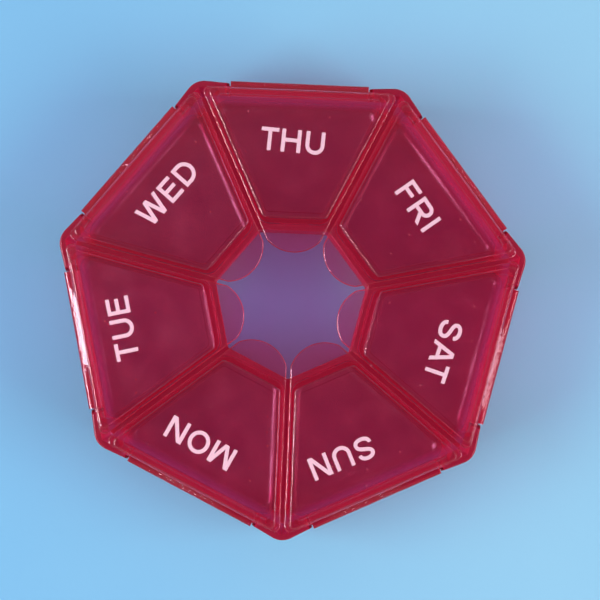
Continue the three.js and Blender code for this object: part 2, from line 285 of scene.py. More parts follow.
# The tray
trayPlan = {
    "floorThickness": 1.3 * mm,
    "outerWall": 1.2 * mm,
    "holeWall": 1.2 * mm,
    "dividerThickness": 1.2 * mm,
    "baseRound": 0.8 * mm,
    "rimRound": 0.35 * mm,
    "lipRound": 0.2 * mm,  # inner edges of the rim
    "holeLipRound": 0.3 * mm,
    "floorRound": 2.5 * mm,
    "floorSteps": 9,
    "compartmentInnerRadius": 3 * mm,
    "compartmentOuterRadius": 3.2 * mm,
    "wellWall": 1.1 * mm,
    "wellLength": 2.4 * mm,
    "wellWidth": 3.2 * mm,
    "wellFootWidth": 1.4 * mm,
    "wellRadius": 0.4 * mm,
    "cheekBackWall": 0.6 * mm,
    "cheekDepth": 2.6 * mm,
    "cheekSkirt": 2.4 * mm,
    "mouthFlare": 0.8 * mm,
    "mouthFlareDepth": 1.2 * mm,
    "beadRadius": 0.4 * mm,
    "beadLength": 6 * mm,
    "grooveDepth": 0.25 * mm,
    "grooveClearance": 0.15 * mm,
    "grooveEndGap": 0.5 * mm,
}
compartmentInnerY = holeApothem + trayPlan["holeWall"]
compartmentOuterY = outerApothem - trayPlan["outerWall"]

lidPlan = {
    "restGap": 0.3 * mm,  # rim to the underside of the flange
    "flangeThickness": 1.1 * mm,
    "flangeRound": 0.25 * mm,
    "flangeTopRound": 0.25 * mm,
    "split": 0.8 * mm,  # gap between neighbouring lids
    "cornerLedge": 1.0 * mm,
    "cornerRadius": 1.2 * mm,
    "apronThickness": 1.2 * mm,
    "apronRound": 0.6 * mm,
    "apronSlope": math.radians(2.5),
    "apronFillet": 0.3 * mm,
    "panelSideMargin": 1 * mm,
    "panelInnerMargin": 2.5 * mm,
    "panelOuterMargin": 1.3 * mm,
    "panelCornerRadius": 1 * mm,
    "panelRound": 0.35 * mm,
    "panelWall": 1.1 * mm,
    "pocketRound": 0.08 * mm,
    "skirtGap": 0.3 * mm,
    "skirtThickness": 0.9 * mm,
    "skirtDepth": 2.2 * mm,
    "skirtRound": 0.15 * mm,
    "skirtSwing": 1 * mm,  # left free before the compartment's corners, for the lid's turn
    "beadProud": 0.2 * mm,
    "beadLift": 1 * mm,
    "tabReach": 4.55 * mm,
    "tabShoulder": 2.6 * mm,
    "tabSteps": 48,
}
flangeUnder = rimHeight + lidPlan["restGap"]
flangeTop = flangeUnder + lidPlan["flangeThickness"]
lidOuterY = outerApothem - lidPlan["cornerLedge"]
skirtInnerY = compartmentInnerY + lidPlan["skirtGap"]
skirtEndY = compartmentOuterY - trayPlan["compartmentOuterRadius"] - lidPlan["skirtSwing"]
skirtFoot = flangeUnder - lidPlan["skirtDepth"]
beadHeight = skirtFoot + lidPlan["beadLift"]


def trayOutline():
    spread = ringPlan["outerCircumradius"] + ringPlan["cornerSpread"]
    return ringOutline([
        (complex(notchHalf, outerApothem), 0),
        (complex(-notchHalf, outerApothem), 0),
        (cmath.rect(spread, math.pi / 2 + halfSector), ringPlan["cornerRadius"]),
    ])


def holeOutline():
    return ringOutline([(cmath.rect(ringPlan["holeCircumradius"], math.pi / 2 + halfSector),
                         ringPlan["holeCornerRadius"])])


def compartmentCutter():
    outline = sectorOutline(trayPlan["dividerThickness"] / 2, compartmentInnerY, compartmentOuterY,
                            trayPlan["compartmentInnerRadius"], trayPlan["compartmentOuterRadius"])
    room = slab(outline, trayPlan["floorThickness"], rimHeight, lowRound=trayPlan["floorRound"],
                highRound=-trayPlan["lipRound"], highRun=overrun, lowSteps=trayPlan["floorSteps"])
    wallReach = (compartmentOuterY - compartmentInnerY) / 2
    return drafted(room, ringPlan["compartmentDraft"], wallReach, compartmentInnerY + wallReach)


def cornerWellCutter():  # cored out of a corner, so that the plastic there is no thicker than the walls
    tip = (outerApothem - trayPlan["wellWall"]) / math.cos(halfSector)
    shoulder = tip - trayPlan["wellWidth"] / 2 * math.tan(halfSector)
    foot = tip - trayPlan["wellLength"]
    radius = trayPlan["wellRadius"]
    outline = roundedOutline([
        (complex(-trayPlan["wellFootWidth"] / 2, foot), radius),
        (complex(trayPlan["wellFootWidth"] / 2, foot), radius),
        (complex(trayPlan["wellWidth"] / 2, shoulder), radius),
        (complex(0, tip), radius),
        (complex(-trayPlan["wellWidth"] / 2, shoulder), radius),
    ])
    well = drafted(slab(outline, 0, rimHeight, lowRun=overrun, highRun=overrun),
                   ringPlan["outerDraft"], outerApothem)
    well.transform(Matrix.Rotation(halfSector, 4, "Z"))
    return well


def cheeks():  # the blocks at both ends of a notch that hold the lid's pins
    inside = outerApothem - trayPlan["cheekDepth"]
    root = outerApothem - trayPlan["outerWall"] / 2
    foot = hingeHeight - trayPlan["cheekSkirt"]
    profile = [(root, rimHeight), (inside, rimHeight), (inside, foot), (root, foot - (root - inside))]
    socketDepth = hingePlan["pinLength"] - hingePlan["sideGap"] + hingePlan["socketEndGap"]
    end = notchHalf + socketDepth + trayPlan["cheekBackWall"]
    return [alongSide(profile, notchHalf, end), alongSide(profile, -end, -notchHalf)]


def hingeCutters():  # the notch with its flared mouth, and the blind pin sockets
    inside = outerApothem - trayPlan["cheekDepth"] - overrun
    outside = outerApothem + overrun
    top = rimHeight + overrun
    notchFloor = hingeHeight - hingePlan["barrelRadius"] - hingePlan["floorGap"]
    notch = block((-notchHalf, inside, notchFloor), (notchHalf, outside, top))
    growth = trayPlan["mouthFlare"] / trayPlan["mouthFlareDepth"]
    mouthTop = notchHalf + trayPlan["mouthFlare"] + overrun * growth
    mouthFoot = rimHeight - trayPlan["mouthFlareDepth"]
    mouth = solidFromRings([
        [(-notchHalf, y, mouthFoot), (notchHalf, y, mouthFoot), (mouthTop, y, top), (-mouthTop, y, top)]
        for y in (inside, outside)
    ])
    socketRadius = hingePlan["pinRadius"] + hingePlan["socketClearance"]
    socketEnd = notchHalf + hingePlan["pinLength"] - hingePlan["sideGap"] + hingePlan["socketEndGap"]
    sockets = turnedBar([(socketRadius, -socketEnd), (socketRadius, socketEnd)], hingeReach, hingeHeight)
    return [notch, mouth, sockets]


def grooveCutter():
    radius = trayPlan["beadRadius"] + trayPlan["grooveClearance"]
    half = trayPlan["beadLength"] / 2 + trayPlan["grooveEndGap"]
    middleY = compartmentInnerY + radius - trayPlan["grooveDepth"]
    return turnedBar([(radius, -half), (radius, half)], middleY, beadHeight)


def makeTray():
    blank = drafted(slab(trayOutline(), 0, rimHeight, lowRound=trayPlan["baseRound"],
                         highRound=trayPlan["rimRound"]), ringPlan["outerDraft"], outerApothem)
    hollow = combine(blank, aroundHole(compartmentCutter()), "DIFFERENCE")
    held = combine(hollow, [copy for cheek in cheeks() for copy in aroundHole(cheek)], "UNION")
    cutters = [*hingeCutters(), grooveCutter(), cornerWellCutter()]
    notched = combine(held, [copy for cutter in cutters for copy in aroundHole(cutter)], "DIFFERENCE")
    lip = trayPlan["holeLipRound"]
    hole = slab(holeOutline(), 0, rimHeight, lowRound=-lip, highRound=-lip, lowRun=overrun, highRun=overrun)
    return combine(notched, [drafted(hole, -ringPlan["holeDraft"], holeApothem)], "DIFFERENCE")


# A lid, drawn in Thursday's place
def flangeOutline():
    offset = lidPlan["split"] / 2
    outerHalf = rayHalfWidth(lidOuterY, offset)
    along = ringPlan["holeCircumradius"] - lidPlan["tabShoulder"]
    shoulder = cmath.rect(along, math.pi / 2 - halfSector) + cmath.rect(offset, math.pi - halfSector)
    tip = holeApothem - lidPlan["tabReach"]
    tabMiddle = (abs(shoulder) ** 2 - tip ** 2) / (2 * (shoulder.imag - tip))
    tabRadius = tabMiddle - tip
    meet = cmath.phase(shoulder - 1j * tabMiddle)
    steps = lidPlan["tabSteps"]
    tab = [1j * tabMiddle + cmath.rect(tabRadius, -math.pi - meet + (math.pi + 2 * meet) * step / steps)
           for step in range(steps + 1)]
    corners = roundedOutline([
        (shoulder, 0),
        (complex(outerHalf, lidOuterY), lidPlan["cornerRadius"]),
        (complex(-outerHalf, lidOuterY), lidPlan["cornerRadius"]),
        (complex(-shoulder.real, shoulder.imag), 0),
    ])
    return tab[:-1] + corners[:-1]


def panelOutline(inset):
    radius = lidPlan["panelCornerRadius"]
    return sectorOutline(lidPlan["split"] / 2 + lidPlan["panelSideMargin"] + inset,
                         holeApothem + lidPlan["panelInnerMargin"] + inset,
                         outerApothem - lidPlan["panelOuterMargin"] - inset, radius, radius)


def hingeEdge():  # the flange bends down into the apron, which carries the barrel
    root = lidOuterY - overrun
    apronInner = barrelFront - lidPlan["apronThickness"]
    fillet = lidPlan["apronFillet"]
    bend = lidPlan["apronRound"]
    slope = lidPlan["apronSlope"]
    slopeTop = outerApothem - lidPlan["panelOuterMargin"]
    bendY = barrelFront - bend
    slopeEnd = bendY + bend * math.sin(slope)
    bendZ = flangeTop - math.tan(slope) * (slopeEnd - slopeTop) - bend * math.cos(slope)
    profile = [(root, flangeUnder)]
    profile += reversed(arc(apronInner - fillet, flangeUnder - fillet, fillet, 0, 1,
                            smoothness["filletSteps"]))
    profile += [(apronInner, hingeHeight), (barrelFront, hingeHeight)]
    profile += arc(bendY, bendZ, bend, 0, 1 - slope / (math.pi / 2), smoothness["bendSteps"])
    profile += [(slopeTop, flangeTop), (root, flangeTop)]
    return alongSide(profile, -barrelHalf, barrelHalf)


def barrelAndPins():
    pinEnd = barrelHalf + hingePlan["pinLength"]
    edge = hingePlan["edgeRound"]
    chamfer = hingePlan["pinTipChamfer"]
    half = [
        (hingePlan["barrelRadius"], barrelHalf - edge),
        (hingePlan["barrelRadius"] - edge, barrelHalf),
        (hingePlan["pinRadius"], barrelHalf),
        (hingePlan["pinRadius"], pinEnd - chamfer),
        (hingePlan["pinRadius"] - chamfer, pinEnd),
    ]
    return turnedBar([(r, -x) for r, x in reversed(half)] + half, hingeReach, hingeHeight)


# The rim under the lid that drops into the compartment on three sides, with its snap bead
def makeSkirt():
    side = trayPlan["dividerThickness"] / 2 + lidPlan["skirtGap"]
    wall = lidPlan["skirtThickness"]
    top = flangeUnder + lidPlan["flangeThickness"] / 2
    outer = sectorOutline(side, skirtInnerY, skirtEndY + overrun,
                          trayPlan["compartmentInnerRadius"] - lidPlan["skirtGap"], wall)
    inner = sectorOutline(side + wall, skirtInnerY + wall, skirtEndY + 2 * overrun,
                          trayPlan["compartmentInnerRadius"] - lidPlan["skirtGap"] - wall, wall)
    bead = turnedBar([(trayPlan["beadRadius"], -trayPlan["beadLength"] / 2),
                      (trayPlan["beadRadius"], trayPlan["beadLength"] / 2)],
                     skirtInnerY + trayPlan["beadRadius"] - lidPlan["beadProud"], beadHeight)
    rim = combine(slab(outer, skirtFoot, top, lowRound=lidPlan["skirtRound"]), [bead], "UNION")
    room = slab(inner, skirtFoot, top, lowRun=overrun, highRun=overrun)
    endX = rayHalfWidth(skirtEndY + overrun, 0)
    openEnd = block((-endX, skirtEndY, skirtFoot - overrun),
                    (endX, skirtEndY + 2 * overrun, top + overrun))
    return combine(rim, [room, openEnd], "DIFFERENCE")


def makeLid():
    flange = slab(flangeOutline(), flangeUnder, flangeTop, lowRound=lidPlan["flangeRound"],
                  highRound=lidPlan["flangeTopRound"])
    foot = flangeTop - lidPlan["flangeTopRound"]
    panel = slab(panelOutline(0), foot, panelTop, highRound=lidPlan["panelRound"])
    pocketTop = panelTop - lidPlan["flangeThickness"]
    pocket = slab(panelOutline(lidPlan["panelWall"]), flangeUnder, pocketTop,
                  highRound=lidPlan["pocketRound"], lowRun=lidPlan["restGap"])
    shell = combine(flange, [panel, hingeEdge(), barrelAndPins()], "UNION")
    hollow = combine(shell, [pocket], "DIFFERENCE")
    return combine(hollow, [makeSkirt()], "UNION")


def toPlace(mesh, index):  # from the middle of the hole to the frame's origin, in that day's place
    mesh.transform(Matrix.Rotation(-index * sector, 4, "Z"))
    mesh.transform(Matrix.Translation((ringMiddle.x, ringMiddle.y, 0)))
    return mesh


tray = polish(makeObject("tray_moulding", toPlace(makeTray(), 0)))
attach(tray, "tray")
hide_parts("tray")
print("tray", len(tray.data.vertices), "vertices")

lidMesh = makeLid()
lids = []
for index, dayName in enumerate(dayNames):
    lid = polish(makeObject(f"{dayName}_lid", toPlace(lidMesh.copy(), index)))
    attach(lid, f"lid_{dayName}")
    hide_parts(f"lid_{dayName}")
    lids.append(lid)
print("lids", len(lidMesh.vertices), "vertices each")


# A node with its settings, and with its sockets set or linked by name or number
def addNode(tree, kind, links=None, **settings):
    added = tree.nodes.new(kind)
    for name, value in settings.items():
        setattr(added, name, value)
    for name, source in (links or {}).items():
        if isinstance(source, bpy.types.NodeSocket):
            tree.links.new(source, added.inputs[name])
        else:
            added.inputs[name].default_value = source
    return added


def newMaterial(name):
    material = bpy.data.materials.new(name)
    material.use_nodes = True
    material.node_tree.nodes.clear()
    return material, material.node_tree


# The clear red plastic: the surface, what scatters in it, and what the thickness takes out of the light
clearRed = {
    "absorptionColour": (0.895, 0.15, 0.43, 1),  # what a thick piece still lets through
    "hazeColour": (0.92, 0.03, 0.10, 1),
    "ior": 1.57,
    "flatFacing": 0.99,  # how level a face is where it counts as flat
    "outerFace": (0.7 * mm, 0.5 * mm),  # in from the rim's outline: where it starts and where it is full
}
trayFinish = {
    "tint": (1.0, 0.60, 0.70, 1),
    "shadowTint": (0.94, 0.707, 0.854, 1),  # what one surface lets through of the lamps
    "absorptionPerMetre": 783,
    "roughness": (0.10, 0.25),  # of the smoothest and the dullest patches
    "flatHaze": 0.02,
    "wallHaze": 0.60,
    "hazeHeights": (rimHeight - 0.5 * mm, rimHeight - 0.3 * mm),
    "hazeByHeight": (0.0, 0.50),
    "outerFaceHaze": 0.25,
    "edgeWarp": 0.0,  # steepness of the sag over a hinge
    "paintedGleam": 0.0,  # haze that the painted gleam adds: violet light painted along the hinge side
    "dust": 0.0,
}
lidFinish = {
    "tint": (1.0, 0.78, 0.835, 1),
    "shadowTint": (0.94, 0.806, 0.933, 1),
    "absorptionPerMetre": 282,
    "roughness": (0.04, 0.09),
    "flatHaze": 0.10,
    "wallHaze": 0.02,
    "hazeHeights": (flangeUnder - 0.6 * mm, flangeUnder - 0.1 * mm),
    "hazeByHeight": (0.50, 0.0),
    "outerFaceHaze": 1.0,
    "edgeWarp": math.tan(math.radians(9)),
    # painted violet light along the hinge side of each panel
    "paintedGleam": 0.09,
    "dust": 0.5,
}
reliefPlan = {
    "waveSize": 9 * mm,  # the faint waves that a moulding has
    "waveDetail": 2.0,
    "waveHeight": 0.0012 * mm,
    "patchesPerMetre": 180.0,  # smoother and duller places
    "patchDetail": 4.0,
    "patchRange": (0.35, 0.75),
    "warpMiddle": 2 * mm,  # clockwise of the middle of a hinge
    "warpCore": 4 * mm,
    "warpReach": 11 * mm,
    "streakSize": 1.2 * mm,
    "streakDetail": 3.0,
    "streakRange": (0.3, 0.7),  # of the noise, as patchRange
    "streakDepth": (0.45, 1.4),
}
# Painted light: a violet glow painted into the lids' haze along each panel's hinge side
paintedGleamPlan = {
    "colour": (0.68, 0.09, 0.36, 1),  # painted light: violet, along the hinge side of each panel
    "share": 0.7,  # how far it turns the haze's colour
    "start": 5.5 * mm,  # in from the rim's outline, as full and end
    "full": 3.6 * mm,
    "end": 3.0 * mm,
}
dustPlan = {
    "colour": (0.90, 0.50, 0.60, 1),
    "spacing": 3.4 * mm,
    "bareShare": 0.85,  # of the cells of that spacing, how many have no speck
    "core": 0.045,  # of the spacing, in the largest speck
    "edge": 0.085,
}


def noise(tree, spot, scale, detail):
    grain = addNode(tree, "ShaderNodeTexNoise", {"Vector": spot, "Scale": scale, "Detail": detail})
    return grain.outputs["Fac"]


def ramp(tree, value, start, end, low, high, kind="LINEAR"):
    limits = {"Value": value, "From Min": start, "From Max": end, "To Min": low, "To Max": high}
    return addNode(tree, "ShaderNodeMapRange", limits, interpolation_type=kind).outputs["Result"]


def sums(tree, operation, *values):
    return addNode(tree, "ShaderNodeMath", dict(enumerate(values)), operation=operation).outputs["Value"]


def blendColours(tree, share, first, second):
    colours = {"Factor": share, "A": first, "B": second}
    return addNode(tree, "ShaderNodeMix", colours, data_type="RGBA").outputs["Result"]


def blendShaders(tree, share, first, second):
    return addNode(tree, "ShaderNodeMixShader", {"Fac": share, 1: first, 2: second}).outputs["Shader"]


def bump(tree, height, strength, distance, under=None):
    links = {"Height": height, "Strength": strength, "Distance": distance}
    if under:
        links["Normal"] = under
    return addNode(tree, "ShaderNodeBump", links).outputs["Normal"]


def fromHole(tree, spot):  # how far out towards its side of the box a point lies, and how far along that side
    offset = addNode(tree, "ShaderNodeVectorMath", {0: spot, 1: ringMiddle}, operation="SUBTRACT")
    parts = addNode(tree, "ShaderNodeSeparateXYZ", {"Vector": offset.outputs["Vector"]}).outputs
    aside = sums(tree, "WRAP", sums(tree, "ARCTAN2", parts["X"], parts["Y"]), halfSector, -halfSector)
    level = addNode(tree, "ShaderNodeCombineXYZ", {"X": parts["X"], "Y": parts["Y"]}).outputs["Vector"]
    reach = addNode(tree, "ShaderNodeVectorMath", {0: level}, operation="LENGTH").outputs["Value"]
    outwards = sums(tree, "MULTIPLY", reach, sums(tree, "COSINE", aside))
    along = sums(tree, "MULTIPLY", reach, sums(tree, "SINE", aside))
    return outwards, along


def surfaceRelief(tree, spot, outwards, along, edgeWarp):
    waves = noise(tree, spot, 1 / reliefPlan["waveSize"], reliefPlan["waveDetail"])
    relief = bump(tree, waves, 1.0, reliefPlan["waveHeight"])
    if not edgeWarp:
        return relief
    # The thin strip over the hinge sags outwards along its middle
    offMiddle = sums(tree, "ABSOLUTE", sums(tree, "SUBTRACT", along, reliefPlan["warpMiddle"]))
    sag = ramp(tree, offMiddle, reliefPlan["warpCore"], reliefPlan["warpReach"], edgeWarp, 0.0, "SMOOTHSTEP")
    streaks = noise(tree, spot, 1 / reliefPlan["streakSize"], reliefPlan["streakDetail"])
    uneven = sums(tree, "MULTIPLY", sag,
                  ramp(tree, streaks, *reliefPlan["streakRange"], *reliefPlan["streakDepth"]))
    panelEdge = outerApothem - lidPlan["panelOuterMargin"]
    pastPanel = sums(tree, "MINIMUM", sums(tree, "SUBTRACT", panelEdge, outwards), 0.0)
    return bump(tree, sums(tree, "MULTIPLY", pastPanel, uneven), 1.0, 1.0, relief)


# Drawn walls and the rubbed rim scatter more light than the polished flats
def hazeShare(tree, place, outwards, finish):
    facing = addNode(tree, "ShaderNodeSeparateXYZ", {"Vector": place["Normal"]}).outputs["Z"]
    slope = ramp(tree, sums(tree, "ABSOLUTE", facing), 0.0, clearRed["flatFacing"],
                 finish["wallHaze"], finish["flatHaze"])
    start, full = clearRed["outerFace"]
    outerFace = ramp(tree, outwards, outerApothem - start, outerApothem - full, 1.0, finish["outerFaceHaze"])
    height = addNode(tree, "ShaderNodeSeparateXYZ", {"Vector": place["Object"]}).outputs["Z"]
    byHeight = ramp(tree, height, *finish["hazeHeights"], *finish["hazeByHeight"])
    return sums(tree, "MAXIMUM", sums(tree, "MULTIPLY", slope, outerFace), byHeight)


# Where the violet light is painted: a band in from the hinge side of each panel
def paintedPanelGleam(tree, outwards):
    rise = ramp(tree, outwards, outerApothem - paintedGleamPlan["start"], outerApothem - paintedGleamPlan["full"],
                0.0, 1.0, "SMOOTHSTEP")
    return sums(tree, "MULTIPLY", rise, sums(tree, "LESS_THAN", outwards, outerApothem - paintedGleamPlan["end"]))


def dustSpecks(tree, spot):
    cells = addNode(tree, "ShaderNodeTexVoronoi", {"Vector": spot, "Scale": 1 / dustPlan["spacing"]},
                    voronoi_dimensions="2D")
    draw = addNode(tree, "ShaderNodeSeparateColor", {"Color": cells.outputs["Color"]}).outputs
    chosen = sums(tree, "GREATER_THAN", draw["Red"], dustPlan["bareShare"])
    off = sums(tree, "DIVIDE", cells.outputs["Distance"], draw["Green"])
    return sums(tree, "MULTIPLY", ramp(tree, off, dustPlan["core"], dustPlan["edge"], 1.0, 0.0), chosen)


def makeClearPlastic(name, finish):
    material, tree = newMaterial(name)
    place = addNode(tree, "ShaderNodeTexCoord").outputs
    spot = place["Object"]
    outwards, along = fromHole(tree, spot)
    patches = noise(tree, spot, reliefPlan["patchesPerMetre"], reliefPlan["patchDetail"])
    glass = addNode(tree, "ShaderNodeBsdfPrincipled", {
        "Base Color": finish["tint"], "IOR": clearRed["ior"], "Transmission Weight": 1.0,
        "Roughness": ramp(tree, patches, *reliefPlan["patchRange"], *finish["roughness"]),
        "Normal": surfaceRelief(tree, spot, outwards, along, finish["edgeWarp"])})

    share = hazeShare(tree, place, outwards, finish)
    colour = clearRed["hazeColour"]
    # Painted light: more haze, turned violet, along the hinge side of each panel
    if finish["paintedGleam"]:
        paintedGleam = paintedPanelGleam(tree, outwards)
        share = sums(tree, "ADD", share, sums(tree, "MULTIPLY", paintedGleam, finish["paintedGleam"]))
        turned = sums(tree, "MULTIPLY", paintedGleam, paintedGleamPlan["share"])
        colour = blendColours(tree, turned, colour, paintedGleamPlan["colour"])
    if finish["dust"]:
        dust = sums(tree, "MULTIPLY", dustSpecks(tree, spot), finish["dust"])
        share = sums(tree, "MAXIMUM", share, dust)
        colour = blendColours(tree, dust, colour, dustPlan["colour"])
    glare = addNode(tree, "ShaderNodeBsdfDiffuse", {"Color": colour}).outputs["BSDF"]
    glow = addNode(tree, "ShaderNodeBsdfTranslucent", {"Color": colour}).outputs["BSDF"]
    haze = blendShaders(tree, 0.5, glare, glow)
    body = blendShaders(tree, share, glass.outputs["BSDF"], haze)

    # Lamps and bounced light pass through, so that the box isn't black inside
    through = addNode(tree, "ShaderNodeBsdfTransparent", {"Color": finish["shadowTint"]}).outputs["BSDF"]
    rays = addNode(tree, "ShaderNodeLightPath").outputs
    bounced = blendShaders(tree, rays["Is Diffuse Ray"], body, through)
    surface = blendShaders(tree, rays["Is Shadow Ray"], bounced, through)
    inside = addNode(tree, "ShaderNodeVolumeAbsorption", {
        "Color": clearRed["absorptionColour"], "Density": finish["absorptionPerMetre"]})
    addNode(tree, "ShaderNodeOutputMaterial", {"Surface": surface, "Volume": inside.outputs["Volume"]})
    return material


def coat(thing, material):
    thing.data.materials.clear()
    thing.data.materials.append(material)


coat(tray, makeClearPlastic("clear_red_tray", trayFinish))
lidPlastic = makeClearPlastic("clear_red_lids", lidFinish)
for lid in lids:
    coat(lid, lidPlastic)
print("clear plastic done")

# The day names, printed on the panels in plain capitals
inkPlan = {
    "capHeight": 4.7 * mm,
    "stroke": 0.79 * mm,
    "letterGap": 0.95 * mm,
    "overshoot": 0.08 * mm,  # how far O, S and U reach past the lines of the others
    "curveSteps": 20,
    "ovalSteps": 48,
    "handleSteps": 10,
    "thickness": 0.03 * mm,
    "sunk": 0.02 * mm,  # how far the ink reaches into the panel
    "shade": (0.79, 0.44, 0.52, 1),
    "light": (0.93, 0.59, 0.67, 1),
    "roughness": 0.4,
    "grainPerMetre": 2600.0,
    "grainDetail": 3.0,
    "grainStrength": 0.3,
    "grainHeight": 0.01 * mm,
}
# Widths of the letters, and the gaps that differ from letterGap, in millimetres
letterWidths = {"T": 3.6, "H": 4.0, "U": 3.9, "F": 3.3, "R": 4.0, "I": 0.95, "S": 3.75, "A": 4.4,
                "N": 4.0, "M": 4.7, "O": 4.5, "E": 3.5, "W": 5.9, "D": 3.9}
closerPairs = {"TH": 0.6, "SA": 0.7, "AT": 0.15, "WE": 0.7, "MO": 0.8, "ON": 0.8}
# Millimetres sideways and out from the middle of the hole, and degrees of turn: each name is a little off
printPlaces = {
    "thursday": (-1.0, 32.5, 3.4),
    "friday": (-0.3, 32.2, 1.6),
    "saturday": (1.8, 32.5, 3.6),
    "sunday": (3.2, 33.3, 1.3),
    "monday": (2.7, 34.1, 1.7),
    "tuesday": (0.7, 34.7, -0.8),
    "wednesday": (0.1, 33.4, 0.6),
}


# Points of an upright oval, from one turn to another in quarter circles
def ovalArc(centre, radiusX, radiusY, startTurn, endTurn, steps=inkPlan["curveSteps"]):
    turns = [startTurn + (endTurn - startTurn) * step / steps for step in range(steps + 1)]
    return [centre + complex(radiusX * math.cos(turn * math.pi / 2), radiusY * math.sin(turn * math.pi / 2))
            for turn in turns]


def softCurve(handles):  # (point, handle, handle, point, handle, ...) as in a drawing program
    steps = inkPlan["handleSteps"]
    points = [handles[0]]
    for index in range(0, len(handles) - 1, 3):
        start, pull, push, end = handles[index:index + 4]
        for step in range(1, steps + 1):
            t = step / steps
            rest = 1 - t
            points.append(start * rest ** 3 + 3 * pull * t * rest ** 2
                          + 3 * push * t ** 2 * rest + end * t ** 3)
    return points


# The middle lines of a letter's strokes, in millimetres. printedWord trims what runs past the letter.
def letterStrokes(letter, width, height, stroke):
    half = stroke / 2
    left, right, middle = half, width - half, width / 2
    low, high = half, height - half
    stem = [complex(left, 0), complex(left, height)]
    farStem = [complex(right, 0), complex(right, height)]
    if letter == "T":
        return [[complex(0, high), complex(width, high)], [complex(middle, 0), complex(middle, high)]]
    if letter == "H":
        bar = height * 0.53
        return [stem, farStem, [complex(left, bar), complex(right, bar)]]
    if letter == "U":
        bowl = ovalArc(complex(middle, low + 1.5), middle - left, 1.5, -2, 0)
        return [[complex(left, height)] + bowl + [complex(right, height)]]
    if letter == "F":
        bar = height * 0.54
        return [stem, [complex(0, high), complex(width, high)], [complex(0, bar), complex(width * 0.9, bar)]]
    if letter == "E":
        bar = height * 0.53
        return [stem, [complex(0, high), complex(width * 0.97, high)],
                [complex(0, low), complex(width, low)], [complex(0, bar), complex(width * 0.92, bar)]]
    if letter == "I":
        return [[complex(middle, 0), complex(middle, height)]]
    if letter == "R":
        bowlHigh = (high + height * 0.46) / 2
        reach = high - bowlHigh
        turn = ovalArc(complex(right - reach, bowlHigh), reach, reach, 1, -1)
        leg = [complex(width * 0.52, bowlHigh - reach), complex(right + 0.12, -0.2)]
        return [stem, [complex(0, high)] + turn + [complex(0, bowlHigh - reach)], leg]
    if letter == "D":
        turn = ovalArc(complex(width * 0.42, height / 2), right - width * 0.42, high - height / 2, 1, -1)
        return [stem, [complex(0, high)] + turn + [complex(0, low)]]
    if letter == "O":
        tall = height / 2 - left + 0.04
        return [ovalArc(complex(middle, height / 2), middle - left, tall, 0, 4, inkPlan["ovalSteps"])]
    if letter == "N":
        return [stem, farStem, [complex(left + 0.08, height + 0.1), complex(right - 0.08, -0.1)]]
    if letter == "M":
        return [stem, farStem, [complex(left + 0.1, height + 0.1), complex(middle, -0.1)],
                [complex(right - 0.1, height + 0.1), complex(middle, -0.1)]]
    if letter == "A":
        apex = complex(middle, height + 0.3)
        return [[complex(left - 0.07, -0.2), apex], [complex(right + 0.07, -0.2), apex],
                [complex(width * 0.2, height * 0.31), complex(width * 0.8, height * 0.31)]]
    if letter == "W":
        feet = [complex(width * 0.27, -0.2), complex(width * 0.73, -0.2)]
        return [[complex(left - 0.05, height + 0.2), feet[0]], [complex(middle, height + 0.2), feet[0]],
                [complex(middle, height + 0.2), feet[1]], [complex(right + 0.05, height + 0.2), feet[1]]]
    curve = [(0.87, 0.72), (0.85, 0.86), (0.69, 0.925), (0.49, 0.925), (0.29, 0.925), (0.135, 0.85),
             (0.135, 0.735), (0.135, 0.61), (0.29, 0.57), (0.50, 0.525), (0.74, 0.475), (0.89, 0.42),
             (0.89, 0.275), (0.89, 0.14), (0.72, 0.075), (0.50, 0.075), (0.25, 0.075), (0.11, 0.16),
             (0.10, 0.31)]  # the S, in shares of its width and height
    return [softCurve([complex(x * width, y * height) for x, y in curve])]


def strokePlate(points, bottom, top):  # a flat plate of the pen's width along a line
    closed = abs(points[0] - points[-1]) < 0.001 * mm
    strides = [after - here for here, after in zip(points, points[1:])]
    first, last = (strides[-1], strides[0]) if closed else (strides[0], strides[-1])
    bm = bmesh.new()
    rows = []
    for here, before, after in zip(points, [first] + strides, strides + [last]):
        normal, share = cornerNormal(before, after)
        aside = normal * inkPlan["stroke"] / 2 / share
        near, far = here + aside, here - aside
        rows.append([bm.verts.new((point.real, point.imag, height))
                     for point, height in ((near, bottom), (far, bottom), (far, top), (near, top))])
    if closed:
        bmesh.ops.delete(bm, geom=rows.pop(), context="VERTS")
        rows.append(rows[0])
    for row, nextRow in zip(rows, rows[1:]):
        for corner in range(4):
            following = (corner + 1) % 4
            bm.faces.new((row[corner], row[following], nextRow[following], nextRow[corner]))
    if not closed:
        bm.faces.new(list(reversed(rows[0])))
        bm.faces.new(rows[-1])
    mesh = bpy.data.meshes.new("stroke")
    bm.to_mesh(mesh)
    bm.free()
    return mesh


def printedWord(word):
    height = inkPlan["capHeight"]
    bottom = panelTop - inkPlan["sunk"]
    top = panelTop + inkPlan["thickness"]
    margin = 1 * mm  # of the window that trims a letter's strokes
    pen = 0
    letters = []
    for index, letter in enumerate(word):
        width = letterWidths[letter]
        plates = [strokePlate([point * mm for point in line], bottom, top)
                  for line in letterStrokes(letter, width, height / mm, inkPlan["stroke"] / mm)]
        shape = combine(plates[0], plates[1:], "UNION")
        overshoot = inkPlan["overshoot"] if letter in "OSU" else 0
        window = block((-margin, -overshoot, bottom - margin),
                       (width * mm + margin, height + overshoot, top + margin))
        shape = combine(shape, [window], "INTERSECT")
        shape.transform(Matrix.Translation((pen * mm, 0, 0)))
        letters.append(shape)
        pen += width + closerPairs.get(word[index:index + 2], inkPlan["letterGap"] / mm)
    pen -= inkPlan["letterGap"] / mm
    line = combine(letters[0], letters[1:], "UNION")
    line.transform(Matrix.Translation((-pen * mm / 2, -height / 2, 0)))
    return line


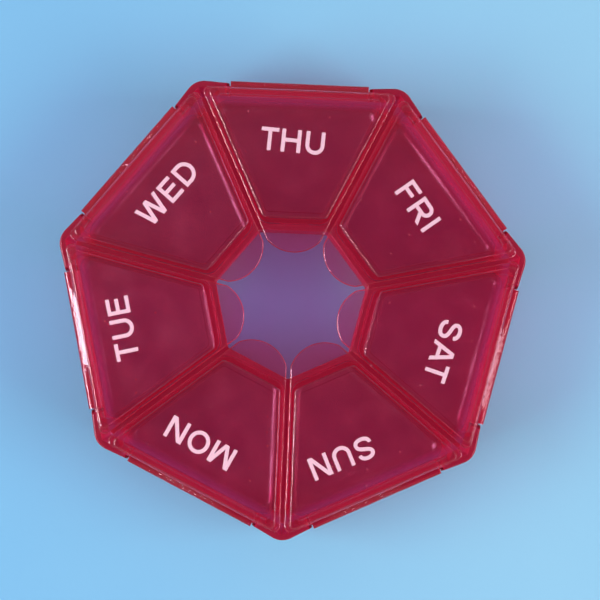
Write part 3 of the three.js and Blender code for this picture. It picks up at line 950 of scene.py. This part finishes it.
def makeInk():
    material, tree = newMaterial("printed_ink")
    spot = addNode(tree, "ShaderNodeTexCoord").outputs["Object"]
    grain = noise(tree, spot, inkPlan["grainPerMetre"], inkPlan["grainDetail"])
    shader = addNode(tree, "ShaderNodeBsdfPrincipled", {
        "Base Color": blendColours(tree, grain, inkPlan["shade"], inkPlan["light"]),
        "Roughness": inkPlan["roughness"],
        "Normal": bump(tree, grain, inkPlan["grainStrength"], inkPlan["grainHeight"])})
    addNode(tree, "ShaderNodeOutputMaterial", {"Surface": shader.outputs["BSDF"]})
    return material


ink = makeInk()
for index, dayName in enumerate(dayNames):
    sideways, reach, turn = printPlaces[dayName]
    word = printedWord(dayName[:3].upper())
    word.transform(Matrix.Rotation(-math.radians(turn), 4, "Z"))
    word.transform(Matrix.Translation((sideways * mm, reach * mm, 0)))
    label = makeObject(f"{dayName}_print", toPlace(word, index))
    label.data.shade_flat()
    coat(label, ink)
    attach(label, f"lid_{dayName}")
print("day names done")

# The board that the box lies on
boardPlan = {
    "leftColour": (0.220, 0.52, 0.79, 1),
    "rightColour": (0.32, 0.62, 0.81, 1),
    "driftHalf": 70 * mm,  # how far to each side of the box the colour changes
    "driftShare": 0.8,
    "half": 3.0,
    "drop": 0.05 * mm,
    "cloudsPerMetre": 28.0,
    "cloudDetail": 3.0,
    "cloudShare": 0.25,
    "toothPerMetre": 900.0,
    "toothDetail": 2.0,
    "toothStrength": 0.25,
    "toothHeight": 0.05 * mm,
    "roughness": 0.6,
}


def makeBoardFinish():
    material, tree = newMaterial("pale_blue_board")
    spot = addNode(tree, "ShaderNodeTexCoord").outputs["Object"]
    across = addNode(tree, "ShaderNodeSeparateXYZ", {"Vector": spot}).outputs["X"]
    drift = ramp(tree, across, -boardPlan["driftHalf"], boardPlan["driftHalf"],
                 0.0, boardPlan["driftShare"], "SMOOTHSTEP")
    cloud = noise(tree, spot, boardPlan["cloudsPerMetre"], boardPlan["cloudDetail"])
    mottle = sums(tree, "MULTIPLY_ADD", cloud, boardPlan["cloudShare"], drift)
    tooth = noise(tree, spot, boardPlan["toothPerMetre"], boardPlan["toothDetail"])
    shader = addNode(tree, "ShaderNodeBsdfPrincipled", {
        "Base Color": blendColours(tree, mottle, boardPlan["leftColour"], boardPlan["rightColour"]),
        "Roughness": boardPlan["roughness"], "Specular IOR Level": 0.0,
        "Normal": bump(tree, tooth, boardPlan["toothStrength"], boardPlan["toothHeight"])})
    addNode(tree, "ShaderNodeOutputMaterial", {"Surface": shader.outputs["BSDF"]})
    return material


boardMesh = bpy.data.meshes.new("board")
half = boardPlan["half"]
boardMesh.from_pydata([(-half, -half, 0), (half, -half, 0), (half, half, 0), (-half, half, 0)], [],
                      [(0, 1, 2, 3)])
board = makeObject("board", boardMesh)
board.location.z = -boardPlan["drop"]
coat(board, makeBoardFinish())

# Lamps light the box and don't show in it
lampPlan = {
    "leftLight": {"place": (-1.20, -0.274, 0.72), "width": 1.00, "height": 0.68, "watts": 16.8,
                  "colour": (1.0, 0.99, 0.98)},
    "rightLight": {"place": (1.20, -0.274, 0.72), "width": 1.00, "height": 0.68, "watts": 14.0,
                   "colour": (1.0, 0.97, 0.97)},
}
# Cards that only show as a shine on the plastic and add no light
cardPlan = {
    "leftCard": {"place": (-0.39, -0.09, 0.57), "width": 0.36, "height": 0.30, "watts": 8.8,
                 "colour": (1.0, 0.82, 0.98)},
    "rightCard": {"place": (0.39, -0.09, 0.57), "width": 0.36, "height": 0.30, "watts": 2.9,
                  "colour": (1.0, 0.68, 0.80)},
}


def addLamp(lampName, lamp):
    light = bpy.data.lights.new(lampName, "AREA")
    light.shape = "RECTANGLE"
    light.size = lamp["width"]
    light.size_y = lamp["height"]
    light.energy = lamp["watts"]
    light.color = lamp["colour"]
    holder = makeObject(lampName, light)
    holder.location = lamp["place"]
    holder.rotation_euler = (-Vector(lamp["place"])).to_track_quat("-Z", "Y").to_euler()
    holder.visible_transmission = False
    return holder


for lampName, lamp in lampPlan.items():
    addLamp(lampName, lamp).visible_glossy = False
for cardName, card in cardPlan.items():
    addLamp(cardName, card).visible_diffuse = False

worldPlan = {
    "room": (0.37, 0.39, 0.46, 1),
    "overhead": (0.10, 0.09, 0.20, 1),  # darker straight above, where a camera keeps the light off
    "overheadAim": (0.06, -0.06, 1.0),
    "overheadFade": (0.955, 0.99),  # cosines of the angles where it starts and where it is full
    "strength": 1.0,
}
world = bpy.data.worlds.new("soft_room")
world.use_nodes = True
sky = world.node_tree
sky.nodes.clear()
aim = Vector(worldPlan["overheadAim"]).normalized()
direction = addNode(sky, "ShaderNodeTexCoord").outputs["Generated"]
nearness = addNode(sky, "ShaderNodeVectorMath", {0: direction, 1: aim}, operation="DOT_PRODUCT")
fade = ramp(sky, nearness.outputs["Value"], *worldPlan["overheadFade"], 0.0, 1.0)
roomLight = addNode(sky, "ShaderNodeBackground", {
    "Color": blendColours(sky, fade, worldPlan["room"], worldPlan["overhead"]),
    "Strength": worldPlan["strength"]})
addNode(sky, "ShaderNodeOutputWorld", {"Surface": roomLight.outputs["Background"]})
bpy.context.scene.world = world

cameraPlan = {
    "place": (-3.81 * mm, -5.888 * mm, 380 * mm),
    "turn": (math.radians(1.289), math.radians(-0.940), math.radians(2.308)),
    "lens": 106.4,
    "sensorWidth": 36,
    "clipStart": 0.01,
}
camera = bpy.data.cameras.new("camera")
camera.lens = cameraPlan["lens"]
camera.sensor_width = cameraPlan["sensorWidth"]
camera.clip_start = cameraPlan["clipStart"]
eye = makeObject("camera", camera)
eye.location = cameraPlan["place"]
eye.rotation_euler = cameraPlan["turn"]
bpy.context.scene.camera = eye

lightPaths = {"bounces": 24, "clearLayers": 48}
scene = bpy.context.scene
scene.view_settings.view_transform = "Standard"
scene.cycles.max_bounces = lightPaths["bounces"]
scene.cycles.transmission_bounces = lightPaths["bounces"]
scene.cycles.transparent_max_bounces = lightPaths["clearLayers"]
scene.cycles.caustics_refractive = False
scene.cycles.caustics_reflective = False
print("stage done")
